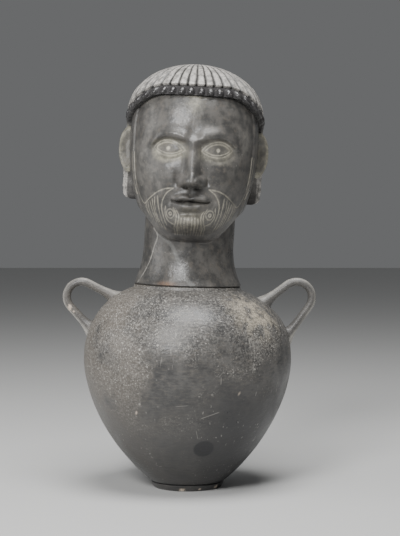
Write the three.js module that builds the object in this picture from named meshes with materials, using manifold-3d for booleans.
// A cinerary jar of dark burnished clay: a round jar with two loop handles,
// and a hollow lid in the form of a head on its neck.
// Millimetres, +Z up. The origin is the centre of the foot's underside, and the face looks along -Y.

import * as THREE from 'three';
import { mergeVertices } from 'three/addons/utils/BufferGeometryUtils.js';
import Module from 'manifold-3d';

const wasm = await Module();
wasm.setup();

// Jar: foot, belly and shoulder
const SEAT_HEIGHT = 246.6;
const BODY_RADIUS = 127;
const WIDEST_HEIGHT = 156;
const BODY_WALL = 7;
const FLOOR_THICKNESS = 14;
const FOOT_HEIGHT = 8;
const FOOT_BASE_RADIUS = 41.5;
const FOOT_FLARE = 3;
const FOOT_CHAMFER = 1;
const FOOT_GROOVE_DEPTH = 1.2;
const FOOT_GROOVE_WIDTH = 1.2;

// The belly and the shoulder are each a rounded curve, r = R (1 - (d / reach)^power)^(1 / round),
// with d the distance from the widest level, and they would close a little beyond the foot and the mouth.
const BELLY_OVERRUN = 16;
const BELLY_POWER = 1.75;
const BELLY_ROUND = 1.4;
const SHOULDER_OVERRUN = 4.9;
const SHOULDER_POWER = 2.25;
const SHOULDER_ROUND = 2.5;

// Mouth: the ring that the lid rests on, and the upright collar that keeps it in place
const LIP_RADIUS = 66;
const LIP_INSET = 0.8;
const SEAT_CHAMFER = 1.4;
const COLLAR_HEIGHT = 7;
const COLLAR_WALL = 5;
const COLLAR_CLEARANCE = 1.5;
const MOUTH_SLANT = THREE.MathUtils.degToRad( 1.9 );
const SLANT_RAMP_HEIGHT = 60;

// Handles: round clay rolls, a little different on the two sides.
// Each root is so far below the mouth; the bow's centre is out and up from the middle of the roots.
// The jar and its handles are one fired piece, parted at the roots by a hair's breadth.
const LEFT_UPPER_ROOT_DROP = 17.1;
const LEFT_LOWER_ROOT_DROP = 58.1;
const LEFT_BOW_OUT = 30.4;
const LEFT_BOW_RISE = 23.5;
const LEFT_BOW_RADIUS = 18.2;
const RIGHT_UPPER_ROOT_DROP = 23.1;
const RIGHT_LOWER_ROOT_DROP = 68.6;
const RIGHT_BOW_OUT = 29.1;
const RIGHT_BOW_RISE = 31;
const RIGHT_BOW_RADIUS = 18.8;
const HANDLE_SINK = 8;
const HANDLE_GAP = 0.3;
const HANDLE_THICKNESS = 10.4;
const HANDLE_WIDTH = 12;
const HANDLE_ROOT_SWELL = 0.45;
const HANDLE_ROOT_SWELL_LENGTH = 15;

// Lid: neck and head, in the lid's own frame with its origin at the middle of the seat
const SEAT_GAP = 0.3;
const NECK_WAIST_RADIUS = 55;
const NECK_FLARE_HEIGHT = 50;
const NECK_FLARE_POWER = 2.2;
const NECK_WALL = 8;
const HEAD_WALL = 10;
const THROAT_LENGTH = 30;
const HEAD_LEAN = THREE.MathUtils.degToRad( 1.1 );

// Head: it stands on the neck, and its proportions are shares of its height from chin to crown.
// The face is a plain canon of three equal parts: chin to nose, nose to brow and brow to hairline,
// with the eyes a little under the brow.
const NECK_LENGTH = 64;
const HEAD_HEIGHT = 204;
const HAIRLINE_SHARE = 0.79;
const EYE_DROP_SHARE = 0.19;
const CHIN_LEVEL = NECK_LENGTH;
const CROWN_LEVEL = CHIN_LEVEL + HEAD_HEIGHT;
const HAIRLINE_LEVEL = CHIN_LEVEL + HAIRLINE_SHARE * HEAD_HEIGHT;
const FACE_THIRD = ( HAIRLINE_LEVEL - CHIN_LEVEL ) / 3;
const NOSE_LEVEL = CHIN_LEVEL + FACE_THIRD;
const BROW_LEVEL = NOSE_LEVEL + FACE_THIRD;
const MOUTH_LEVEL = NOSE_LEVEL - FACE_THIRD / 3;
const EYE_LEVEL = BROW_LEVEL - EYE_DROP_SHARE * FACE_THIRD;

// Reaches from the head's axis to the skin, each with the level where it is largest,
// the length over which it closes below, and how full its curve is
const SKIN_FRONT = { reach: 0.427, level: 0.495, below: 0.55, belowPower: 6, abovePower: 2.6, round: 2.4 };
const SKIN_SIDE = { reach: 0.372, level: 0.56, below: 0.64, belowPower: 2.4, abovePower: 2.4, round: 2.2 };
const SKIN_BACK = { reach: 0.422, level: 0.57, below: 0.59, belowPower: 2.2, abovePower: 2.4, round: 2.2 };
const SKIN_CROWN = 0.97;
const SECTION_SQUARENESS = 2.25;

// Jaw: the heights of its edge and of its join with the neck, in front and behind
const JAW_EDGE_FRONT = 0.01;
const JAW_EDGE_SIDE = 0.13;
const NECK_TOP_FRONT = - 0.05;
const NECK_TOP_BACK = 0.1;
const JAW_TURNS = [ 20, 80 ].map( THREE.MathUtils.degToRad );
const SIDEBURN_THICKNESS = 2;
const SIDEBURN_TURNS = [ 60, 72 ].map( THREE.MathUtils.degToRad );

// Face: soft swellings and hollows, in thirds of the face: their place, half size and depth
const FEATURES = {
	brow: { aside: 0.5, level: BROW_LEVEL, up: 0.02, halfWidth: 0.46, halfHeight: 0.13, depth: 0.09 },
	socket: { aside: 0.53, level: EYE_LEVEL, up: 0, halfWidth: 0.3, halfHeight: 0.2, depth: - 0.17 },
	eye: { aside: 0.54, level: EYE_LEVEL, up: - 0.01, halfWidth: 0.2, halfHeight: 0.12, depth: 0.16 },
	cheek: { aside: 0.68, level: NOSE_LEVEL, up: 0.25, halfWidth: 0.32, halfHeight: 0.36, depth: 0.07 },
	nostril: { aside: 0.2, level: NOSE_LEVEL, up: 0.1, halfWidth: 0.1, halfHeight: 0.11, depth: 0.12 },
	upperLip: { aside: 0, level: MOUTH_LEVEL, up: 0.09, halfWidth: 0.38, halfHeight: 0.09, depth: 0.11 },
	mouthLine: { aside: 0, level: MOUTH_LEVEL, up: 0, halfWidth: 0.46, halfHeight: 0.04, depth: - 0.07 },
	lowerLip: { aside: 0, level: MOUTH_LEVEL, up: - 0.1, halfWidth: 0.32, halfHeight: 0.08, depth: 0.11 },
	chin: { aside: 0, level: CHIN_LEVEL, up: 0.2, halfWidth: 0.42, halfHeight: 0.22, depth: 0.24 },
};
const NOSE = { root: 0.08, rootHeight: 0.1, tipHeight: 0.42, rootWidth: 0.12, tipWidth: 0.2, endRise: [ - 0.05, 0.12 ] };

// Hair: ribs that run from the crown to a fringe of knobs, and to rolled curls at the nape
const HAIR_THICKNESS = { front: 5, side: 8, back: 6 };
const HAIR_SIDE_LEVEL = 0.64;
const TEMPLE_SHARE = 0.647;
const NAPE_SHARE = 0.186;
const TEMPLE_TURNS = [ 30, 92 ].map( THREE.MathUtils.degToRad );
const NAPE_TURNS = [ 91, 107 ].map( THREE.MathUtils.degToRad );
const NAPE_TUCK = 1;
const RIB_COUNT = 38;
const RIB_GROOVE_DEPTH = 3;
const FRINGE_KNOB_HEIGHT = 11;
const FRINGE_KNOB_BULGE = 1;
const NAPE_CURL_HEIGHT = 19;
const NAPE_CURL_BULGE = 3;
const KNOB_PINCH = 3.5;
const HAIR_ROOT_DEPTH = 3;

// Ears: dished plates that stand out from the head
const EAR_SHARE = 0.48;
const EAR_HALF_HEIGHT = 28;
const EAR_HALF_LENGTH = 16;
const EAR_THICKNESS = 7;
const EAR_DISH = 2.5;
const EAR_STAND = 0.55;
const EAR_FORWARD = 5;
const EAR_FLARE = THREE.MathUtils.degToRad( 50 );

// Facets
const BODY_COLUMNS = 40;
const BELLY_ROWS = 9;
const SHOULDER_ROWS = 7;
const HOLLOW_COLUMNS = 24;
const HOLLOW_ROWS = 12;
const HANDLE_SIDES = 9;
const HANDLE_STEPS = 15;
const FACE_STEP = 4;
const FACE_HALF_ANGLE = 48;
const SCALP_STEP = 12;
const HAIR_COLUMNS_PER_RIB = 3;
const WELD_DISTANCE = 1e-4;
const SEAM_WELD_DISTANCE = 0.02;
const CUT_OVERSHOOT = 3;
const HEAD_HOLLOW_ROWS = 7;
const LEAST_REACH = 0.5;
const SLOPE_STEP = 0.01;

const LEFT_HANDLE = {
	side: - 1,
	upperRootDrop: LEFT_UPPER_ROOT_DROP,
	lowerRootDrop: LEFT_LOWER_ROOT_DROP,
	bowOut: LEFT_BOW_OUT,
	bowRise: LEFT_BOW_RISE,
	bowRadius: LEFT_BOW_RADIUS,
};
const RIGHT_HANDLE = {
	side: 1,
	upperRootDrop: RIGHT_UPPER_ROOT_DROP,
	lowerRootDrop: RIGHT_LOWER_ROOT_DROP,
	bowOut: RIGHT_BOW_OUT,
	bowRise: RIGHT_BOW_RISE,
	bowRadius: RIGHT_BOW_RADIUS,
};

const NECK_BASE_RADIUS = LIP_RADIUS;
const SHOULDER_REACH = SEAT_HEIGHT - WIDEST_HEIGHT + SHOULDER_OVERRUN;
const BELLY_REACH = WIDEST_HEIGHT + BELLY_OVERRUN;
const COLLAR_OUTER_RADIUS = neckRadius( COLLAR_HEIGHT ) - NECK_WALL - COLLAR_CLEARANCE;
const MOUTH_RADIUS = COLLAR_OUTER_RADIUS - COLLAR_WALL;

// Small helpers

function mix( from, to, share ) {

	return from + ( to - from ) * share;

}

function ease( value, from, to ) {

	return THREE.MathUtils.smoothstep( value, from, to );

}

function bump( distance, width ) {

	return Math.exp( - ( ( distance / width ) ** 2 ) );

}

function evenSteps( count ) {

	return Array.from( { length: count + 1 }, ( _, index ) => index / count );

}

// Vertices closer than the weld become one, and the triangles that this empties are dropped.
function welded( geometry, distance ) {

	const bare = geometry.clone();
	bare.deleteAttribute( 'normal' );
	bare.deleteAttribute( 'uv' );
	const merged = mergeVertices( bare, distance );
	const corners = merged.index.array;
	const kept = new Map();
	for ( let at = 0; at < corners.length; at += 3 ) {

		const triangle = corners.slice( at, at + 3 );
		if ( new Set( triangle ).size < 3 ) continue;
		const key = triangle.toSorted().join( ' ' );
		if ( kept.has( key ) ) kept.delete( key );
		else kept.set( key, triangle );

	}

	merged.setIndex( [ ...kept.values() ].flatMap( ( triangle ) => [ ...triangle ] ) );
	return merged;

}

function solidOf( geometry ) {

	const closed = welded( geometry, WELD_DISTANCE );
	const mesh = new wasm.Mesh( {
		numProp: 3,
		vertProperties: new Float32Array( closed.attributes.position.array ),
		triVerts: new Uint32Array( closed.index.array ),
	} );
	return new wasm.Manifold( mesh );

}

function geometryOf( solid ) {

	const mesh = solid.getMesh();
	const geometry = new THREE.BufferGeometry();
	geometry.setAttribute( 'position', new THREE.BufferAttribute( mesh.vertProperties, 3 ) );
	geometry.setIndex( new THREE.BufferAttribute( mesh.triVerts, 1 ) );
	const faceted = welded( geometry, SEAM_WELD_DISTANCE ).toNonIndexed();
	faceted.computeVertexNormals();
	return faceted;

}

function moveVertices( geometry, place ) {

	const position = geometry.attributes.position;
	const point = new THREE.Vector3();
	for ( let index = 0; index < position.count; index ++ ) {

		point.fromBufferAttribute( position, index );
		place( point, index );
		position.setXYZ( index, point.x, point.y, point.z );

	}

	return geometry;

}

// Swapping two axes turns a surface inside out, so its triangles are turned over.
function turnOver( geometry ) {

	const corners = geometry.index.array;
	for ( let at = 0; at < corners.length; at += 3 ) {

		[ corners[ at ], corners[ at + 1 ] ] = [ corners[ at + 1 ], corners[ at ] ];

	}

}

function mirrored( geometry ) {

	geometry.scale( - 1, 1, 1 );
	turnOver( geometry );

}

// A profile of [radius, height] pairs turned about the Z axis.
function turned( profile, columns ) {

	const points = profile.map( ( [ radius, height ] ) => new THREE.Vector2( radius, height ) );
	return new THREE.LatheGeometry( points, columns ).rotateX( Math.PI / 2 );

}

// A turned surface whose first and last rows are poles, with each vertex placed by its column and row.
function wrapped( columns, rows, place ) {

	const profile = Array.from( { length: rows }, ( _, row ) => [ Math.sin( Math.PI * row / ( rows - 1 ) ), row ] );
	return moveVertices( turned( profile, columns ), ( point, index ) => {

		place( point, Math.floor( index / rows ) % columns, index % rows );

	} );

}

// Splits the four-sided faces of a turned surface's first columns along their other diagonal.
function otherDiagonals( geometry, columns, rows ) {

	const corners = geometry.index.array;
	const faces = columns * ( rows - 1 );
	for ( let face = 0; face < faces; face ++ ) {

		const at = 6 * face;
		const [ first, second, fourth, third ] = corners.slice( at, at + 4 );
		corners.set( [ first, second, third, first, third, fourth ], at );

	}

	return geometry;

}

// Jar

function bellyRadius( height ) {

	const share = ( WIDEST_HEIGHT - height ) / BELLY_REACH;
	return BODY_RADIUS * ( 1 - share ** BELLY_POWER ) ** ( 1 / BELLY_ROUND );

}

function shoulderRadius( height ) {

	const share = ( height - WIDEST_HEIGHT ) / SHOULDER_REACH;
	return BODY_RADIUS * ( 1 - share ** SHOULDER_POWER ) ** ( 1 / SHOULDER_ROUND );

}

function shoulderHeight( radius ) {

	const share = 1 - ( radius / BODY_RADIUS ) ** SHOULDER_ROUND;
	return WIDEST_HEIGHT + SHOULDER_REACH * share ** ( 1 / SHOULDER_POWER );

}

function bodyRadius( height ) {

	return height < WIDEST_HEIGHT ? bellyRadius( height ) : shoulderRadius( height );

}

// The outer curve of belly and shoulder, with rows closer together where it bends most.
function bodyCurve( lowest, highest, bellyRows, shoulderRows ) {

	const belly = evenSteps( bellyRows ).map( ( share ) => {

		return mix( WIDEST_HEIGHT, lowest, Math.sin( ( 1 - share ) * Math.PI / 2 ) );

	} );
	const shoulder = evenSteps( shoulderRows ).slice( 1 ).map( ( share ) => {

		return mix( WIDEST_HEIGHT, highest, Math.sin( share * Math.PI / 2 ) );

	} );
	return [ ...belly, ...shoulder ].map( ( height ) => [ bodyRadius( height ), height ] );

}

// The same curve, moved square to itself so far into the clay, or out of it where the depth is negative.
function offsetCurve( curve, depth ) {

	return curve.map( ( [ radius, height ] ) => {

		const rise = bodyRadius( height + SLOPE_STEP ) - bodyRadius( height - SLOPE_STEP );
		const slope = rise / ( 2 * SLOPE_STEP );
		const length = Math.hypot( 1, slope );
		return [ radius - depth / length, height + depth * slope / length ];

	} );

}

// The mouth slants: what is near it is lowered on the right and raised on the left.
function slantMouth( point ) {

	const ramp = ease( point.z, SEAT_HEIGHT - SLANT_RAMP_HEIGHT, SEAT_HEIGHT );
	point.z -= point.x * Math.tan( MOUTH_SLANT ) * ramp;

}

function jarOutside() {

	const footTop = FOOT_BASE_RADIUS + FOOT_FLARE;
	const groove = footTop - FOOT_GROOVE_DEPTH;
	const bodyStart = FOOT_HEIGHT + FOOT_GROOVE_WIDTH;
	const lipStart = shoulderHeight( LIP_RADIUS );
	const seatEdge = LIP_RADIUS - LIP_INSET;
	const collarTop = SEAT_HEIGHT + COLLAR_HEIGHT;
	const profile = [
		[ 0, 0 ],
		[ FOOT_BASE_RADIUS - FOOT_CHAMFER, 0 ],
		[ FOOT_BASE_RADIUS, FOOT_CHAMFER ],
		[ footTop, FOOT_HEIGHT - FOOT_GROOVE_WIDTH ],
		[ groove, FOOT_HEIGHT ],
		...bodyCurve( bodyStart, lipStart, BELLY_ROWS, SHOULDER_ROWS ),
		[ seatEdge, SEAT_HEIGHT - SEAT_CHAMFER ],
		[ seatEdge - SEAT_CHAMFER, SEAT_HEIGHT ],
		[ COLLAR_OUTER_RADIUS, SEAT_HEIGHT ],
		[ COLLAR_OUTER_RADIUS, collarTop ],
		[ 0, collarTop ],
	];
	return solidOf( moveVertices( turned( profile, BODY_COLUMNS ), slantMouth ) );

}

function jarHollow() {

	const collarTop = SEAT_HEIGHT + COLLAR_HEIGHT + CUT_OVERSHOOT;
	const roof = SEAT_HEIGHT - BODY_WALL;
	const lowest = FOOT_HEIGHT + FOOT_GROOVE_WIDTH;
	const outline = bodyCurve( lowest, shoulderHeight( LIP_RADIUS ), HOLLOW_ROWS / 2, HOLLOW_ROWS / 2 );
	const curve = offsetCurve( outline, BODY_WALL );
	const walls = curve.filter( ( [ radius, height ] ) => height > FLOOR_THICKNESS && radius > MOUTH_RADIUS );
	const floorRadius = walls[ 0 ][ 0 ] - ( walls[ 0 ][ 1 ] - FLOOR_THICKNESS );
	const profile = [
		[ 0, FLOOR_THICKNESS ],
		[ floorRadius, FLOOR_THICKNESS ],
		...walls,
		[ MOUTH_RADIUS, roof ],
		[ MOUTH_RADIUS, collarTop ],
		[ 0, collarTop ],
	];
	return solidOf( moveVertices( turned( profile, HOLLOW_COLUMNS ), slantMouth ) );

}

// The middle line of a handle, in the plane of its bow: a limb, a round bow and a limb.
function handleLine( { upperRootDrop, lowerRootDrop, bowOut, bowRise, bowRadius } ) {

	const [ upper, lower ] = [ upperRootDrop, lowerRootDrop ].map( ( drop ) => {

		const height = SEAT_HEIGHT - drop;
		return new THREE.Vector2( bodyRadius( height ) - HANDLE_SINK, height );

	} );
	const centre = upper.clone().lerp( lower, 0.5 ).add( new THREE.Vector2( bowOut, bowRise ) );
	const tangentAngle = ( root, turn ) => {

		const away = root.clone().sub( centre );
		return Math.atan2( away.y, away.x ) + turn * Math.acos( bowRadius / away.length() );

	};

	const first = tangentAngle( upper, - 1 );
	const line = new THREE.Path();
	line.moveTo( upper.x, upper.y );
	line.lineTo( centre.x + bowRadius * Math.cos( first ), centre.y + bowRadius * Math.sin( first ) );
	line.absarc( centre.x, centre.y, bowRadius, first, tangentAngle( lower, 1 ), true );
	line.lineTo( lower.x, lower.y );
	return line;

}

// What a handle's root is cut back from: the body with the hair's breadth around it.
function bodyWithGap() {

	const outline = bodyCurve( FOOT_HEIGHT + FOOT_GROOVE_WIDTH, shoulderHeight( LIP_RADIUS ), BELLY_ROWS, SHOULDER_ROWS );
	const curve = offsetCurve( outline, - HANDLE_GAP );
	const profile = [ [ 0, curve.at( 0 )[ 1 ] ], ...curve, [ 0, curve.at( - 1 )[ 1 ] ] ];
	return solidOf( moveVertices( turned( profile, BODY_COLUMNS ), slantMouth ) );

}

function handle( shape ) {

	const line = handleLine( shape );
	const length = line.getLength();
	const roll = new THREE.CylinderGeometry( 1, 1, 1, HANDLE_SIDES, HANDLE_STEPS );
	moveVertices( roll, ( point ) => {

		const along = THREE.MathUtils.clamp( 0.5 - point.y, 0, 1 );
		const fromRoot = Math.min( along, 1 - along ) * length;
		const swell = 1 + HANDLE_ROOT_SWELL * bump( fromRoot, HANDLE_ROOT_SWELL_LENGTH );
		const middle = line.getPointAt( along );
		const tangent = line.getTangentAt( along );
		const across = point.x * swell * HANDLE_THICKNESS / 2;
		const sideways = point.z * swell * HANDLE_WIDTH / 2;
		point.set( middle.x - tangent.y * across, - sideways, middle.y + tangent.x * across );

	} );
	if ( shape.side < 0 ) mirrored( roll );
	return solidOf( roll ).subtract( bodyWithGap() );

}

function jar() {

	return jarOutside().subtract( jarHollow() );

}

// Lid

function neckRadius( level ) {

	const flare = Math.max( 0, 1 - level / NECK_FLARE_HEIGHT ) ** NECK_FLARE_POWER;
	return mix( NECK_WAIST_RADIUS, NECK_BASE_RADIUS, flare );

}

function headLevel( share ) {

	return CHIN_LEVEL + share * HEAD_HEIGHT;

}

// The reach of one of the head's curves at a level, up to a top where it closes.
function reachAt( curve, level, top ) {

	const widest = headLevel( curve.level );
	const above = level >= widest;
	const length = above ? top - widest : curve.below * HEAD_HEIGHT;
	const power = above ? curve.abovePower : curve.belowPower;
	const share = Math.min( Math.abs( level - widest ) / length, 1 );
	return curve.reach * HEAD_HEIGHT * ( 1 - share ** power ) ** ( 1 / curve.round );

}

// The distance from the head's axis to a rounded oblong that reaches so far in front, aside and behind.
function sectionRadius( turn, front, side, back ) {

	const depth = Math.cos( turn ) > 0 ? front : back;
	const across = Math.abs( Math.sin( turn ) / side ) ** SECTION_SQUARENESS;
	const along = Math.abs( Math.cos( turn ) / depth ) ** SECTION_SQUARENESS;
	return ( across + along ) ** ( - 1 / SECTION_SQUARENESS );

}

function skinRadius( turn, level, inset = 0 ) {

	const reaches = [ SKIN_FRONT, SKIN_SIDE, SKIN_BACK ].map( ( curve ) => {

		return Math.max( reachAt( curve, level, headLevel( SKIN_CROWN ) ) - inset, LEAST_REACH );

	} );
	return sectionRadius( turn, ...reaches );

}

// A point at a turn from the front, a radius and a level.
function polar( point, turn, radius, level ) {

	return point.set( radius * Math.sin( turn ), - radius * Math.cos( turn ), level );

}

// The head leans a little more than the neck does.
function leanHead( point ) {

	const angle = HEAD_LEAN * ease( point.z, 0, CHIN_LEVEL );
	const up = point.z - NECK_FLARE_HEIGHT;
	const x = point.x * Math.cos( angle ) + up * Math.sin( angle );
	const z = up * Math.cos( angle ) - point.x * Math.sin( angle );
	return point.set( x, point.y, z + NECK_FLARE_HEIGHT );

}

function noseRelief( aside, level ) {

	const root = BROW_LEVEL - NOSE.root * FACE_THIRD;
	const share = THREE.MathUtils.clamp( ( root - level ) / ( root - NOSE_LEVEL ), 0, 1 );
	const height = mix( NOSE.rootHeight, NOSE.tipHeight, share ) * FACE_THIRD;
	const width = mix( NOSE.rootWidth, NOSE.tipWidth, share ) * FACE_THIRD;
	const begin = bump( Math.max( level - root, 0 ), width );
	const end = ease( ( level - NOSE_LEVEL ) / FACE_THIRD, ...NOSE.endRise );
	return height * begin * end * bump( aside, width );

}

// How far the features of a calm, regular face stand forward of the plain oval.
function faceRelief( x, level ) {

	const aside = Math.abs( x );
	return Object.values( FEATURES ).reduce( ( sum, feature ) => {

		const across = bump( aside - feature.aside * FACE_THIRD, feature.halfWidth * FACE_THIRD );
		const up = bump( level - feature.level - feature.up * FACE_THIRD, feature.halfHeight * FACE_THIRD );
		return sum + feature.depth * FACE_THIRD * across * up;

	}, noseRelief( aside, level ) );

}

// Turns from the front: close together over the face, wider behind.
function headTurns() {

	const half = [];
	for ( let angle = 0; angle < 180; angle += angle < FACE_HALF_ANGLE ? FACE_STEP : SCALP_STEP ) half.push( angle );
	const otherHalf = half.slice( 1 ).reverse().map( ( angle ) => - angle );
	return [ ...half, 180, ...otherHalf ].map( THREE.MathUtils.degToRad );

}

// Rows of the skin above the jaw, through the face's features.
function faceLevels() {

	const rows = [
		[ CHIN_LEVEL, 0.04, 0.15, 0.28, 0.4 ],
		[ MOUTH_LEVEL, - 0.17, - 0.09, 0, 0.08, 0.17 ],
		[ NOSE_LEVEL, - 0.05, 0.04, 0.12, 0.3, 0.5 ],
		[ EYE_LEVEL, - 0.17, - 0.08, 0, 0.09, 0.18 ],
		[ BROW_LEVEL, 0.05, 0.2, 0.5 ],
		[ HAIRLINE_LEVEL, 0 ],
	];
	return rows.flatMap( ( [ base, ...steps ] ) => steps.map( ( step ) => base + step * FACE_THIRD ) );

}

// The head and neck without hair and ears: rows up the neck, under the jaw and up the face.
function skull() {

	const turns = headTurns();
	const foot = [ - SEAT_CHAMFER, 0 ].map( ( step ) => ( { step } ) );
	const neck = [ 0.12, 0.3, 0.5, 0.75, 1 ].map( ( neckShare ) => ( { neckShare } ) );
	const jaw = [ { jawShare: 0.5 } ];
	const face = faceLevels().map( ( faceLevel ) => ( { faceLevel } ) );
	const middle = [ ...foot, ...neck, ...jaw, ...face ];
	const lowest = face.at( 0 ).faceLevel;
	const highest = face.at( - 1 ).faceLevel;
	const geometry = wrapped( turns.length, middle.length + 2, ( point, column, row ) => {

		const turn = turns[ column ];
		const behind = ease( Math.abs( turn ), ...JAW_TURNS );
		const neckTop = headLevel( mix( NECK_TOP_FRONT, NECK_TOP_BACK, behind ) );
		const jawEdge = headLevel( mix( JAW_EDGE_FRONT, JAW_EDGE_SIDE, behind ) );
		const skinAt = ( level ) => Math.max( skinRadius( turn, level ), neckRadius( level ) + 1 );
		const { step, neckShare, jawShare, faceLevel } = middle[ row - 1 ] ?? {};
		if ( row === 0 ) {

			point.set( 0, 0, 0 );

		} else if ( row > middle.length ) {

			point.set( 0, 0, headLevel( SKIN_CROWN ) );

		} else if ( step !== undefined ) {

			polar( point, turn, neckRadius( SEAT_CHAMFER ) + step, SEAT_CHAMFER + step );

		} else if ( neckShare !== undefined ) {

			const level = mix( SEAT_CHAMFER, neckTop, neckShare );
			polar( point, turn, neckRadius( level ), level );

		} else if ( jawShare !== undefined ) {

			const radius = mix( neckRadius( neckTop ), skinAt( jawEdge ), jawShare );
			polar( point, turn, radius, mix( neckTop, jawEdge, jawShare ** 2 ) );

		} else {

			const level = mix( jawEdge, highest, ( faceLevel - lowest ) / ( highest - lowest ) );
			const sideburn = SIDEBURN_THICKNESS * ease( Math.abs( turn ), ...SIDEBURN_TURNS );
			polar( point, turn, skinAt( level ) + sideburn, level );
			point.y -= faceRelief( point.x, level ) * Math.max( Math.cos( turn ), 0 );

		}

		leanHead( point );

	} );
	return solidOf( geometry );

}

// The level of the hair's lower edge: over the brow, down past the ears and along the nape.
function hairEdge( turn ) {

	const aside = Math.abs( turn );
	const overTemple = mix( HAIRLINE_LEVEL, headLevel( TEMPLE_SHARE ), ease( aside, ...TEMPLE_TURNS ) );
	return mix( overTemple, headLevel( NAPE_SHARE ), ease( aside, ...NAPE_TURNS ) );

}

// The hair's plain surface: it hangs straight down from its widest level, a little tucked in at the nape.
function hairRadius( turn, level ) {

	const drop = headLevel( HAIR_SIDE_LEVEL ) - level;
	const tuck = NAPE_TUCK * ease( drop, 0, headLevel( HAIR_SIDE_LEVEL ) - headLevel( NAPE_SHARE ) );
	const curves = [ SKIN_FRONT, { ...SKIN_SIDE, level: HAIR_SIDE_LEVEL, round: 2 }, SKIN_BACK ];
	const thickness = [ HAIR_THICKNESS.front, HAIR_THICKNESS.side, HAIR_THICKNESS.back ];
	const reaches = curves.map( ( curve, index ) => {

		const reach = curve.reach + thickness[ index ] / HEAD_HEIGHT;
		const from = Math.max( level, headLevel( curve.level ) );
		return Math.max( reachAt( { ...curve, reach }, from, CROWN_LEVEL ), LEAST_REACH );

	} );
	return sectionRadius( turn, ...reaches ) - tuck;

}

// Rows of the hair, each so many knobs above its edge, or a share of the way from there to the crown.
function hairRows() {

	const knobs = [ 0, 0.28, 0.5, 0.72, 1, 1.3, 1.7, 2 ].map( ( knobsUp ) => ( { knobsUp, share: 0 } ) );
	const ribs = [ 0.22, 0.45, 0.68, 0.88 ].map( ( share ) => ( { knobsUp: 2, share } ) );
	return [ ...knobs, ...ribs ];

}

// How far a rib's crest stands out of the plain hair: one knob on the fringe, two curls on the nape.
function knobRelief( knobsUp, share, nape ) {

	if ( share > 0 ) return 0;
	const round = Math.sqrt( 1 - ( 2 * ( knobsUp % 1 ) - 1 ) ** 2 );
	const bulge = mix( FRINGE_KNOB_BULGE, NAPE_CURL_BULGE, nape );
	const relief = mix( - KNOB_PINCH, bulge, round );
	return knobsUp > 1 ? relief * nape : relief;

}

// The turn from the front of a place on the hair's oblong, closer together in front and behind.
function ribTurn( around ) {

	const depth = Math.cos( around ) > 0 ? SKIN_FRONT.reach : SKIN_BACK.reach;
	return Math.atan2( SKIN_SIDE.reach * Math.sin( around ), depth * Math.cos( around ) );

}

function hair() {

	const columns = RIB_COUNT * HAIR_COLUMNS_PER_RIB;
	const middle = hairRows();
	const temple = headLevel( TEMPLE_SHARE );
	const geometry = wrapped( columns, middle.length + 2, ( point, column, row ) => {

		const turn = ribTurn( 2 * Math.PI * column / columns );
		if ( row === 0 ) {

			point.set( 0, 0, temple );

		} else if ( row > middle.length ) {

			point.set( 0, 0, CROWN_LEVEL );

		} else {

			const { knobsUp, share } = middle[ row - 1 ];
			const edge = hairEdge( turn );
			const nape = ease( temple - edge, 0, temple - headLevel( NAPE_SHARE ) );
			const knobTop = edge + knobsUp * mix( FRINGE_KNOB_HEIGHT, NAPE_CURL_HEIGHT, nape );
			const level = mix( knobTop, CROWN_LEVEL, Math.sin( share * Math.PI / 2 ) );
			const inGroove = column % HAIR_COLUMNS_PER_RIB === 0;
			const groove = RIB_GROOVE_DEPTH * Math.sqrt( 1 - share );
			const relief = inGroove ? - groove : knobRelief( knobsUp, share, nape );
			const rooted = knobsUp === 0;
			const radius = rooted ? skinRadius( turn, level, HAIR_ROOT_DEPTH ) : hairRadius( turn, level ) + relief;
			polar( point, turn, radius, level );

		}

		leanHead( point );

	} );
	return solidOf( otherDiagonals( geometry, columns / 2, middle.length + 2 ) );

}

function ear( side ) {

	const plate = new THREE.SphereGeometry( 1, 12, 8 );
	const level = headLevel( EAR_SHARE );
	const hinge = skinRadius( Math.PI / 2, level );
	moveVertices( plate, ( point ) => {

		const dish = point.x > 0 ? EAR_DISH * ( 1 - point.y ** 2 - point.z ** 2 ) : 0;
		const out = point.x * EAR_THICKNESS / 2 - dish;
		const back = ( point.z + EAR_STAND ) * EAR_HALF_LENGTH;
		const x = hinge - EAR_THICKNESS / 2 + out * Math.cos( EAR_FLARE ) + back * Math.sin( EAR_FLARE );
		const y = back * Math.cos( EAR_FLARE ) - out * Math.sin( EAR_FLARE ) - EAR_FORWARD;
		point.set( side * x, y, level + point.y * EAR_HALF_HEIGHT );
		leanHead( point );

	} );
	if ( side > 0 ) turnOver( plate );
	return solidOf( plate );

}

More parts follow.
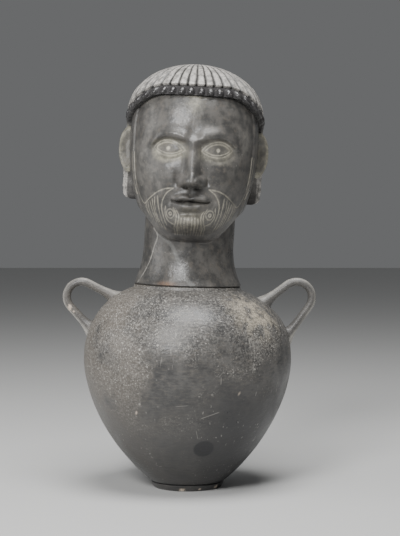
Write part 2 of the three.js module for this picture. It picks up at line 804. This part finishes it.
// The hollow of the lid, open below through the neck.
function headHollow() {

	const top = headLevel( SKIN_CROWN ) - HEAD_WALL;
	const throat = CHIN_LEVEL + HEAD_WALL;
	const aboveCollar = COLLAR_HEIGHT + COLLAR_CLEARANCE;
	const low = [ - CUT_OVERSHOOT, 0, aboveCollar, NECK_FLARE_HEIGHT / 2, NECK_FLARE_HEIGHT, throat ];
	const high = evenSteps( HEAD_HOLLOW_ROWS ).slice( 1, - 1 ).map( ( share ) => {

		return mix( throat, top, Math.sin( share * Math.PI / 2 ) );

	} );
	const levels = [ ...low, ...high ];
	const geometry = wrapped( HOLLOW_COLUMNS, levels.length + 2, ( point, column, row ) => {

		const turn = 2 * Math.PI * column / HOLLOW_COLUMNS;
		if ( row === 0 ) {

			point.set( 0, 0, - CUT_OVERSHOOT );

		} else if ( row > levels.length ) {

			point.set( 0, 0, top );

		} else {

			const level = levels[ row - 1 ];
			const bore = neckRadius( Math.max( level, 0 ) ) - NECK_WALL;
			const inside = skinRadius( turn, level + HEAD_WALL * ease( level, throat, top ), HEAD_WALL );
			polar( point, turn, mix( bore, inside, ease( level, throat, throat + THROAT_LENGTH ) ), level );

		}

		leanHead( point );

	} );
	return solidOf( geometry );

}

function headLid() {

	return skull().add( hair() ).add( ear( - 1 ) ).add( ear( 1 ) ).subtract( headHollow() );

}

// The object

const jarClay = new THREE.MeshStandardMaterial( { color: 0x3d3b3a, roughness: 0.45, metalness: 0 } );
const lidClay = new THREE.MeshStandardMaterial( { color: 0x5f5b56, roughness: 0.5, metalness: 0 } );

const jarMesh = new THREE.Mesh( geometryOf( jar() ), jarClay );
jarMesh.name = 'jar';

const leftHandleMesh = new THREE.Mesh( geometryOf( handle( LEFT_HANDLE ) ), jarClay );
leftHandleMesh.name = 'left_handle';

const rightHandleMesh = new THREE.Mesh( geometryOf( handle( RIGHT_HANDLE ) ), jarClay );
rightHandleMesh.name = 'right_handle';

const lidMesh = new THREE.Mesh( geometryOf( headLid() ), lidClay );
lidMesh.name = 'head_lid';

const lid = new THREE.Group();
lid.position.z = SEAT_HEIGHT + SEAT_GAP;
lid.rotation.y = MOUTH_SLANT;
lid.add( lidMesh );

const object = new THREE.Group();
object.add( jarMesh, leftHandleMesh, rightHandleMesh, lid );

export default object;
